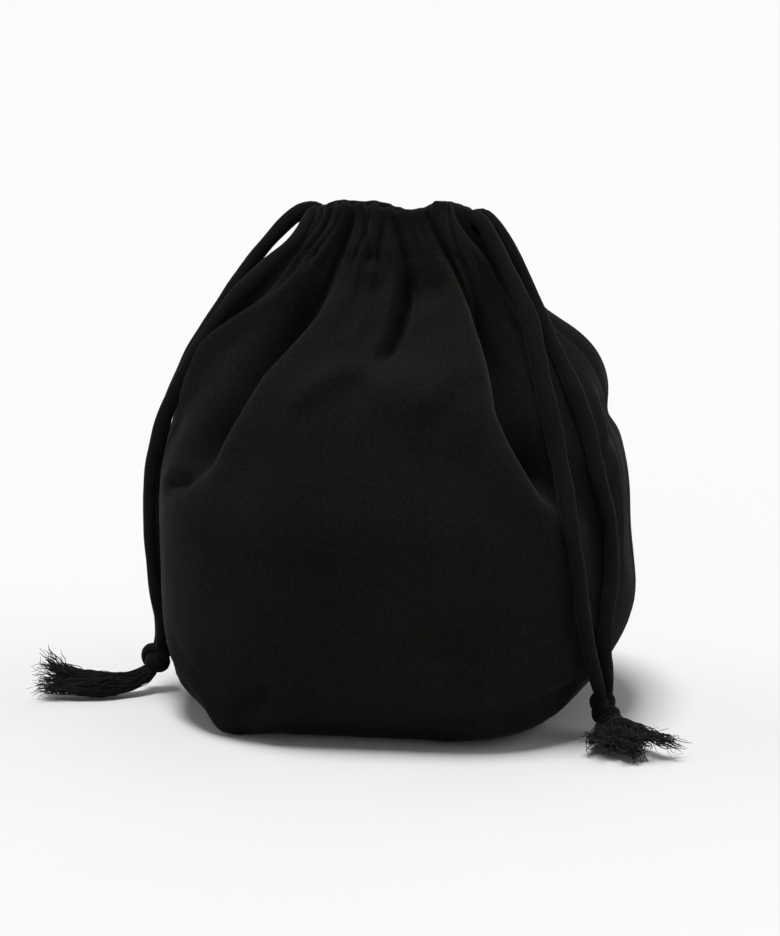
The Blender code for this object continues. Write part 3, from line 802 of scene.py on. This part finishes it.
def cotton_cloth():
    """Matte black plain-weave cotton with a faint nap."""
    sizes = bpy.context.scene.pouch_sizes
    material, tree, shader = new_material("black_cotton_cloth")
    place = tree.nodes.new("ShaderNodeTexCoord")
    split = tree.nodes.new("ShaderNodeSeparateXYZ")
    tree.links.new(place.outputs["UV"], split.inputs[0])
    thread = 0.55 * MM
    warp = thread_wave(tree, split.outputs["X"], thread)
    weft = thread_wave(tree, split.outputs["Y"], thread)
    weave = math_node(tree, "ADD", warp, weft)
    nap = node(tree, "ShaderNodeTexNoise", Scale=900.0, Detail=3.0, Roughness=0.7)
    tree.links.new(place.outputs["Object"], nap.inputs["Vector"])
    cloudy = node(tree, "ShaderNodeTexNoise", Scale=28.0, Detail=4.0, Roughness=0.6)
    tree.links.new(place.outputs["Object"], cloudy.inputs["Vector"])
    colour = tuple(sizes.cloth_colour)
    dark = tuple(0.86 * part for part in colour)
    light = tuple(1.16 * part for part in colour)
    mottled = ramp(tree, cloudy.outputs["Fac"], 0.3, 0.75, dark, light)
    specks = ramp(tree, nap.outputs["Fac"], 0.35, 0.8, (0.75, 0.75, 0.75), (1.5, 1.48, 1.45))
    tree.links.new(multiplied(tree, mottled, specks), shader.inputs["Base Color"])
    relief = math_node(tree, "ADD", math_node(tree, "MULTIPLY", weave, 0.5), nap.outputs["Fac"])
    bump = node(tree, "ShaderNodeBump", Strength=0.55, Distance=0.00012)
    tree.links.new(relief, bump.inputs["Height"])
    tree.links.new(bump.outputs["Normal"], shader.inputs["Normal"])
    rough = ramp(tree, cloudy.outputs["Fac"], 0.2, 0.8, (0.86, 0.86, 0.86), (0.97, 0.97, 0.97))
    tree.links.new(rough, shader.inputs["Roughness"])
    shader.inputs["Specular IOR Level"].default_value = 0.008
    shader.inputs["Sheen Weight"].default_value = 0.14
    shader.inputs["Sheen Roughness"].default_value = 0.30
    shader.inputs["Sheen Tint"].default_value = (0.30, 0.295, 0.285, 1)
    return material


def cotton_cord():
    """Soft knitted black cotton cord, its ribs along the cord."""
    sizes = bpy.context.scene.cord_sizes
    material, tree, shader = new_material("black_cotton_cord")
    place = tree.nodes.new("ShaderNodeTexCoord")
    split = tree.nodes.new("ShaderNodeSeparateXYZ")
    tree.links.new(place.outputs["UV"], split.inputs[0])
    slant = math_node(tree, "ADD", split.outputs["Y"], math_node(tree, "MULTIPLY", split.outputs["X"], 0.7))
    ribs = thread_wave(tree, split.outputs["X"], 0.0011)
    rows = thread_wave(tree, slant, 0.0009)
    knit = math_node(tree, "MULTIPLY", ribs, rows)
    fuzz = node(tree, "ShaderNodeTexNoise", Scale=1400.0, Detail=3.0, Roughness=0.7)
    tree.links.new(place.outputs["Object"], fuzz.inputs["Vector"])
    colour = tuple(sizes.cord_colour)
    dark = tuple(0.7 * part for part in colour)
    light = tuple(1.5 * part for part in colour)
    tree.links.new(ramp(tree, fuzz.outputs["Fac"], 0.3, 0.75, dark, light), shader.inputs["Base Color"])
    relief = math_node(tree, "ADD", knit, math_node(tree, "MULTIPLY", fuzz.outputs["Fac"], 0.8))
    bump = node(tree, "ShaderNodeBump", Strength=0.7, Distance=0.00022)
    tree.links.new(relief, bump.inputs["Height"])
    tree.links.new(bump.outputs["Normal"], shader.inputs["Normal"])
    shader.inputs["Roughness"].default_value = 0.9
    shader.inputs["Specular IOR Level"].default_value = 0.02
    shader.inputs["Sheen Weight"].default_value = 0.16
    shader.inputs["Sheen Roughness"].default_value = 0.35
    shader.inputs["Sheen Tint"].default_value = (0.36, 0.355, 0.345, 1)
    return material


def cord_material():
    return bpy.data.materials.get("black_cotton_cord") or cotton_cord()


def frayed_yarn():
    """Loose black cotton yarn, greyer where its fibres stand open."""
    material, tree, shader = new_material("frayed_cotton_yarn")
    place = tree.nodes.new("ShaderNodeTexCoord")
    split = tree.nodes.new("ShaderNodeSeparateXYZ")
    tree.links.new(place.outputs["UV"], split.inputs[0])
    tipped = ramp(tree, split.outputs["Y"], 0.45, 1.0, (0.0125, 0.0121, 0.0115), (0.026, 0.025, 0.024))
    fuzz = node(tree, "ShaderNodeTexNoise", Scale=1100.0, Detail=2.0, Roughness=0.6)
    tree.links.new(place.outputs["Object"], fuzz.inputs["Vector"])
    uneven = ramp(tree, fuzz.outputs["Fac"], 0.3, 0.7, (0.7, 0.7, 0.7), (1.3, 1.3, 1.3))
    tree.links.new(multiplied(tree, tipped, uneven), shader.inputs["Base Color"])
    shader.inputs["Roughness"].default_value = 0.95
    shader.inputs["Specular IOR Level"].default_value = 0.02
    shader.inputs["Sheen Weight"].default_value = 0.2
    shader.inputs["Sheen Roughness"].default_value = 0.4
    shader.inputs["Sheen Tint"].default_value = (0.45, 0.44, 0.43, 1)
    return material


def smooth_line(points, step):
    """Points a step apart on a smooth curve through the given points, ends included."""
    points = [Vector(point) for point in points]
    padded = [points[0] * 2 - points[1]] + points + [points[-1] * 2 - points[-2]]
    fine = []
    for before, start, end, after in zip(padded, padded[1:], padded[2:], padded[3:]):
        for part in range(24):
            t = part / 24
            bend = 2 * before - 5 * start + 4 * end - after
            twist = 3 * start - before - 3 * end + after
            fine.append(start + (t * (end - before) + t * t * bend + t * t * t * twist) / 2)
    fine.append(points[-1])
    runs = [0.0]
    for start, end in zip(fine, fine[1:]):
        runs.append(runs[-1] + (end - start).length)
    count = max(2, round(runs[-1] / step))
    line = []
    index = 0
    for part in range(count + 1):
        run = runs[-1] * part / count
        while index < len(runs) - 2 and runs[index + 1] < run:
            index += 1
        t = (run - runs[index]) / (runs[index + 1] - runs[index])
        line.append(fine[index].lerp(fine[index + 1], min(1.0, t)))
    return line


def swept(name, line, widths, thicknesses, facing, material, sides=14, closed=False):
    """A tube with an oval section along a line. facing gives each point the flat side's outward direction."""
    points, uv = [], []
    run = 0.0
    count = len(line)
    for index, point in enumerate(line):
        before = line[index - 1] if index or closed else line[0]
        after = line[(index + 1) % count] if index < count - 1 or closed else line[-1]
        forward = (after - before).normalized()
        flat = facing[index] - forward * facing[index].dot(forward)
        flat = flat.normalized() if flat.length > 1e-6 else forward.orthogonal().normalized()
        across = forward.cross(flat)
        if index:
            run += (point - line[index - 1]).length
        for side in range(sides):
            turn = 2 * math.pi * side / sides
            wide = across * (math.cos(turn) * widths[index] / 2)
            thick = flat * (math.sin(turn) * thicknesses[index] / 2)
            points.append(point + (wide + thick))
            uv.append((side / sides * 0.015, run))
    obj = add_mesh(name, points, tube_faces(0, count, sides, closed), uv)
    obj.data.materials.append(material)
    return obj


def strand(name, points, seed, exit_z, wide):
    """One hanging strand of a cord, from its exit down to its knot. wide lists how its width varies."""
    sizes = bpy.context.scene.cord_sizes
    draw = random.Random(seed)
    up = [Vector(point) * MM for point in points]
    side = 1 if up[0].x > 0 else -1
    inside = Vector((up[-1].x - side * 5 * MM, up[-1].y, (exit_z + up[-1].z) / 2))
    line = smooth_line([inside] + up[::-1], 1.6 * MM)
    phase = draw.uniform(0, 6)
    widths, thicknesses, facing = [], [], []
    for index, point in enumerate(line):
        share = index / (len(line) - 1)
        pinch = min(1.0, 0.75 + 5 * share, 0.62 + 5 * (1 - share))
        swell = 1 + 0.05 * math.sin(share * 37 + phase) + 0.03 * math.sin(share * 83 + phase)
        stretch = np.interp(share, (0.0, 0.25, 0.5, 0.75, 1.0), wide)
        widths.append(sizes.width * pinch * swell * stretch)
        thicknesses.append(sizes.thickness * (1 + 0.07 * math.sin(share * 51 + phase)) / stretch)
        outward = Vector((0.35 * side, -1.0, 0.2)).normalized()
        turn = 0.4 * math.sin(share * 9 + phase)
        sideways = outward.cross(Vector((0, 0, 1))).normalized()
        facing.append(outward * math.cos(turn) + sideways * math.sin(turn))
    material = cord_material()
    obj = swept(name, line, widths, thicknesses, facing, material)
    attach(obj, BODY)
    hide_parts("right_cord" if side > 0 else "left_cord")


def casing_run(name, exit_share, direction, z):
    """The cord's hidden way round the casing."""
    points, facing = [], []
    steps = 64
    for step in range(steps + 1):
        share = exit_share + direction * (0.08 + 0.84 * step / steps)
        place, outward = section_points(np.array(share), np.array(POUCH_HEIGHT))
        middle = Vector(place) - Vector(outward) * (CASING_THICKNESS / 2)
        middle.x *= narrowing(z)
        middle.z = z
        points.append(middle)
        facing.append(Vector(outward))
    material = cord_material()
    widths = [HIDDEN_CORD_WIDTH] * len(points)
    thicknesses = [HIDDEN_CORD_THICKNESS] * len(points)
    obj = swept(name, points, widths, thicknesses, facing, material, 10)
    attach(obj, BODY)
    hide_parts("right_cord" if name.startswith("right") else "left_cord")


def knot(name, centre, down, node_name, seed):
    """An overhand knot of the doubled cord, pulled tight."""
    sizes = bpy.context.scene.cord_sizes
    draw = random.Random(seed)
    down = Vector(down).normalized()
    across = down.orthogonal().normalized()
    third = down.cross(across)
    line, facing = [], []
    steps = 96
    for step in range(steps):
        t = 2 * math.pi * step / steps
        x = math.sin(t) + 2 * math.sin(2 * t)
        y = math.cos(t) - 2 * math.cos(2 * t)
        z = -1.15 * math.sin(3 * t)
        offset = across * (x * 0.92) + third * (z * 1.05) + down * (y * 1.05)
        line.append(Vector(centre) * MM + offset * KNOT_SIZE)
        facing.append((across * x + third * z * 2 + down * y).normalized())
    widths = [sizes.width * (1.0 + 0.06 * math.sin(6 * math.pi * index / steps)) for index in range(steps)]
    thicknesses = [sizes.thickness * (1.05 + draw.uniform(-0.03, 0.03)) for _ in range(steps)]
    material = cord_material()
    obj = swept(name, line, widths, thicknesses, facing, material, closed=True)
    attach(obj, BODY)
    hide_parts(node_name)


def yarn_path(line, bundle, spread, draw):
    """One yarn of a frayed tail: bundled at first, then loose, wandering and curled at its end."""
    angle = draw.uniform(0, 2 * math.pi)
    radius = math.sqrt(draw.uniform(0, 1))
    fan, lift = draw.gauss(0, 0.5), draw.gauss(0, 0.5)
    reach = draw.uniform(0.80, 1.0) if draw.random() < 0.75 else draw.uniform(0.45, 0.85)
    twist = draw.uniform(-1.5, 4.5)
    seed = Vector((draw.uniform(-50, 50), draw.uniform(-50, 50), draw.uniform(-50, 50)))
    tangle = draw.uniform(1.0, 2.8) * MM
    curl, turns = draw.uniform(0.6, 2.0) * MM, draw.uniform(1.4, 3.4)
    begin = draw.uniform(0.45, 0.75)
    path = []
    for step in range(YARN_STEPS):
        along = step / (YARN_STEPS - 1) * reach
        place = along * (len(line) - 1)
        index = min(len(line) - 2, int(place))
        centre = line[index].lerp(line[index + 1], place - index)
        forward = (line[index + 1] - line[index]).normalized()
        sideways = forward.cross(Vector((0, 0, 1))).normalized()
        upward = sideways.cross(forward)
        loose = max(0.0, (along - begin) / (1 - begin))
        open_by = bundle * radius * min(1.0, 0.4 + 4 * along) * (1 + 0.18 * math.sin(along * 11 + 2))
        around = angle + twist * along * 2
        spot = centre + sideways * (math.cos(around) * open_by)
        spot += upward * (math.sin(around) * open_by * 0.9)
        spot += sideways * (fan * spread * loose**1.5) + upward * (lift * spread * 0.7 * loose**1.5)
        spot += noise.noise_vector(centre * 190 + seed) * (tangle * (0.35 + 1.4 * loose))
        spin = 2 * math.pi * turns * loose + angle
        spot += (sideways * math.cos(spin) + forward * math.sin(spin)) * (curl * loose**0.7)
        path.append(spot)
    return path


def felted_core(line, bundle, points, faces, uv):
    """Adds the lumpy, felted middle of a frayed tail, which its yarns cover."""
    core = line[:round(len(line) * CORE_REACH)]
    first = len(points)
    for step, centre in enumerate(core):
        ahead = (line[step + 1] - centre).normalized()
        one = ahead.cross(Vector((0, 0, 1))).normalized()
        two = one.cross(ahead)
        share = step / (len(core) - 1)
        fat = bundle * CORE_FATNESS * min(1.0, 0.15 + 2.0 * share) * math.sqrt(max(0.05, 1 - share**5))
        for side in range(CORE_SIDES):
            turn = 2 * math.pi * side / CORE_SIDES
            away = one * math.cos(turn) + two * math.sin(turn)
            lump = 1 + 0.30 * noise.noise((centre + away * bundle) * 260)
            spot = centre + away * (fat * lump)
            spot.z = max(spot.z, CORE_CLEARANCE)
            points.append(spot)
            uv.append((side / CORE_SIDES, 0.3))
    faces += tube_faces(first, len(core), CORE_SIDES)


def loose_yarn(path, thick, points, faces, uv):
    """Adds one yarn along its path, thinner at its end and kept above the floor."""
    first, last = len(points), len(path) - 1
    for step, spot in enumerate(path):
        spot.z = max(spot.z, YARN_CLEARANCE + thick / 2)
        ahead = path[min(step + 1, last)] - path[max(step - 1, 0)]
        ahead = ahead.normalized() if ahead.length > 1e-7 else Vector((1, 0, 0))
        one = ahead.orthogonal().normalized()
        two = ahead.cross(one)
        taper = min(1.0, 0.45 + 0.18 * (last - step))
        for side in range(YARN_SIDES):
            turn = 2 * math.pi * side / YARN_SIDES
            points.append(spot + (one * math.cos(turn) + two * math.sin(turn)) * (thick / 2 * taper))
            uv.append((side / YARN_SIDES, step / last))
    faces += tube_faces(first, len(path), YARN_SIDES)


def tassel(name, tails, node_name, seed):
    """The frayed tails below a knot: yarns that run together and open into a tangled brush."""
    sizes = bpy.context.scene.cord_sizes
    draw = random.Random(seed)
    points, faces, uv = [], [], []
    for tail, part, bundle, spread in tails:
        bundle, spread = in_metres(bundle, spread)
        line = smooth_line([Vector(point) * MM for point in tail], 1.2 * MM)
        felted_core(line, bundle, points, faces, uv)
        for _ in range(round(sizes.yarns * part)):
            thick = draw.uniform(0.26, 0.50) * MM
            loose_yarn(yarn_path(line, bundle, spread, draw), thick, points, faces, uv)
    obj = add_mesh(name, points, faces, uv)
    obj.data.materials.append(bpy.data.materials.get("frayed_cotton_yarn") or frayed_yarn())
    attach(obj, BODY)
    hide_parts(node_name)


def make_camera(scene):
    """The camera at the photograph's viewing angle."""
    back = Vector((
        math.sin(CAMERA_AZIMUTH) * math.cos(CAMERA_ELEVATION),
        -math.cos(CAMERA_AZIMUTH) * math.cos(CAMERA_ELEVATION),
        math.sin(CAMERA_ELEVATION),
    ))
    data = bpy.data.cameras.new("studio_camera")
    data.sensor_fit = "VERTICAL"
    data.sensor_height = 36.0
    data.lens = CAMERA_LENS
    data.shift_x, data.shift_y = (shift / PICTURE_HEIGHT for shift in PICTURE_SHIFT)
    camera = bpy.data.objects.new("studio_camera", data)
    camera.location = Vector(CAMERA_TARGET) + back * CAMERA_DISTANCE
    camera.rotation_euler = back.to_track_quat("Z", "Y").to_euler()
    scene.collection.objects.link(camera)
    scene.camera = camera


def make_lamps(scene):
    for name, direction, strength, angle in LAMPS:
        lamp = bpy.data.lights.new(name, "SUN")
        lamp.energy = strength
        lamp.angle = math.radians(angle)
        sun = bpy.data.objects.new(name, lamp)
        sun.rotation_euler = Vector(direction).to_track_quat("Z", "Y").to_euler()
        scene.collection.objects.link(sun)


def plain_view(tree):
    """1 for what the camera, a gloss or a clear material sees, and 0 for what only lights the object."""
    path = tree.nodes.new("ShaderNodeLightPath")
    clear = math_node(tree, "MAXIMUM", path.outputs["Is Glossy Ray"], path.outputs["Is Transmission Ray"])
    return math_node(tree, "MAXIMUM", clear, path.outputs["Is Camera Ray"])


def make_world(scene):
    """A pale world that lights the object only a little."""
    world = bpy.data.worlds.new("pale_studio")
    world.use_nodes = True
    scene.world = world
    tree = world.node_tree
    background = tree.nodes["Background"]
    background.inputs["Color"].default_value = (1.0, 1.0, 1.0, 1.0)
    background.inputs["Strength"].default_value = AMBIENT_LIGHT
    seen = node(tree, "ShaderNodeBackground", Strength=1.0)
    seen.inputs["Color"].default_value = (*BACKDROP, 1)
    mix = tree.nodes.new("ShaderNodeMixShader")
    tree.links.new(plain_view(tree), mix.inputs["Fac"])
    tree.links.new(background.outputs[0], mix.inputs[1])
    tree.links.new(seen.outputs[0], mix.inputs[2])
    tree.links.new(mix.outputs[0], tree.nodes["World Output"].inputs["Surface"])


def make_floor():
    """The pale floor, just below the pouch."""
    bpy.ops.object.select_all(action="DESELECT")
    bpy.ops.mesh.primitive_plane_add(size=30, location=(0, 0, -0.3 * MM))
    floor = bpy.context.active_object
    floor.name = "studio_floor"
    bpy.ops.object.transform_apply(location=True, rotation=True, scale=True)
    floor.select_set(False)
    material, tree, shader = new_material("pale_floor")
    colour = ramp(tree, plain_view(tree), 0.0, 1.0, FLOOR_COLOUR, FLOOR_SEEN)
    tree.links.new(colour, shader.inputs["Base Color"])
    shader.inputs["Roughness"].default_value = 0.9
    shader.inputs["Specular IOR Level"].default_value = 0.0
    floor.data.materials.append(material)


class POUCH_OT_camera_and_light(bpy.types.Operator):
    """Sets the camera, the soft studio light and the pale floor"""

    bl_idname = "pouch.camera_and_light"
    bl_label = "Camera and Light"

    def execute(self, context):
        context.scene.view_settings.view_transform = "Standard"
        make_camera(context.scene)
        make_lamps(context.scene)
        make_world(context.scene)
        make_floor()
        return {"FINISHED"}


class POUCH_OT_knots_and_tassels(bpy.types.Operator):
    """Ties the knots and frays the tails below them"""

    bl_idname = "pouch.knots_and_tassels"
    bl_label = "Knots and Tassels"

    def execute(self, context):
        knot("left_knot", LEFT_KNOT, (-0.75, -0.35, -0.6), "left_tassel", 3)
        knot("right_knot", RIGHT_KNOT, (0.30, -0.55, -0.75), "right_tassel", 4)
        tassel("left_frayed_tail", LEFT_TAILS, "left_tassel", 21)
        tassel("right_frayed_tail", RIGHT_TAILS, "right_tassel", 22)
        return {"FINISHED"}


class POUCH_OT_cords(bpy.types.Operator):
    """Threads both cords through the casing and hangs their strands"""

    bl_idname = "pouch.cords"
    bl_label = "Cords"

    def execute(self, context):
        low, high = TUNNEL_Z - CORD_SPACING / 2, TUNNEL_Z + CORD_SPACING / 2
        for name, points, side, seed, z, wide in (
            ("left_front_strand", LEFT_FRONT_STRAND, "left", 1, high, (1.15, 1.1, 1.1, 1.0, 1.0)),
            ("left_back_strand", LEFT_BACK_STRAND, "left", 2, high, (1.15, 1.1, 1.05, 0.95, 1.0)),
            ("right_front_strand", RIGHT_FRONT_STRAND, "right", 5, low, (1.0, 1.25, 1.25, 1.05, 1.0)),
            ("right_back_strand", RIGHT_BACK_STRAND, "right", 6, low, (1.0, 1.0, 1.2, 1.05, 1.0)),
        ):
            strand(name, points, seed, z, wide)
        casing_run("right_casing_run", 1.0, -1, low)
        casing_run("left_casing_run", 0.5, 1, high)
        return {"FINISHED"}


class POUCH_OT_cloth(bpy.types.Operator):
    """Sews the cloth: base, wall, gathers and fold-over casing"""

    bl_idname = "pouch.cloth"
    bl_label = "Cloth"

    def execute(self, context):
        make_cloth()
        make_stitching()
        return {"FINISHED"}


class POUCH_PT_panel(bpy.types.Panel):
    """Lists the steps that make the pouch"""

    bl_idname = "POUCH_PT_panel"
    bl_label = "Drawstring Pouch"
    bl_space_type = "VIEW_3D"
    bl_region_type = "UI"
    bl_category = "Pouch"

    def draw(self, context):
        for group in (context.scene.pouch_sizes, context.scene.cord_sizes):
            for name in group.bl_rna.properties.keys()[2:]:
                self.layout.prop(group, name)
        for step in STEPS:
            self.layout.operator(step.bl_idname)


STEPS = (
    POUCH_OT_camera_and_light,
    POUCH_OT_knots_and_tassels,
    POUCH_OT_cords,
    POUCH_OT_cloth,
)
CLASSES = (PouchSizes, CordSizes, *STEPS, POUCH_PT_panel)


def register():
    for made in CLASSES:
        bpy.utils.register_class(made)
    bpy.types.Scene.pouch_sizes = bpy.props.PointerProperty(type=PouchSizes)
    bpy.types.Scene.cord_sizes = bpy.props.PointerProperty(type=CordSizes)


def unregister():
    del bpy.types.Scene.cord_sizes
    del bpy.types.Scene.pouch_sizes
    for made in reversed(CLASSES):
        bpy.utils.unregister_class(made)


def main():
    register()
    bpy.ops.pouch.camera_and_light()
    bpy.ops.pouch.knots_and_tassels()
    bpy.ops.pouch.cords()
    bpy.ops.pouch.cloth()


if __name__ == "__main__":
    main()
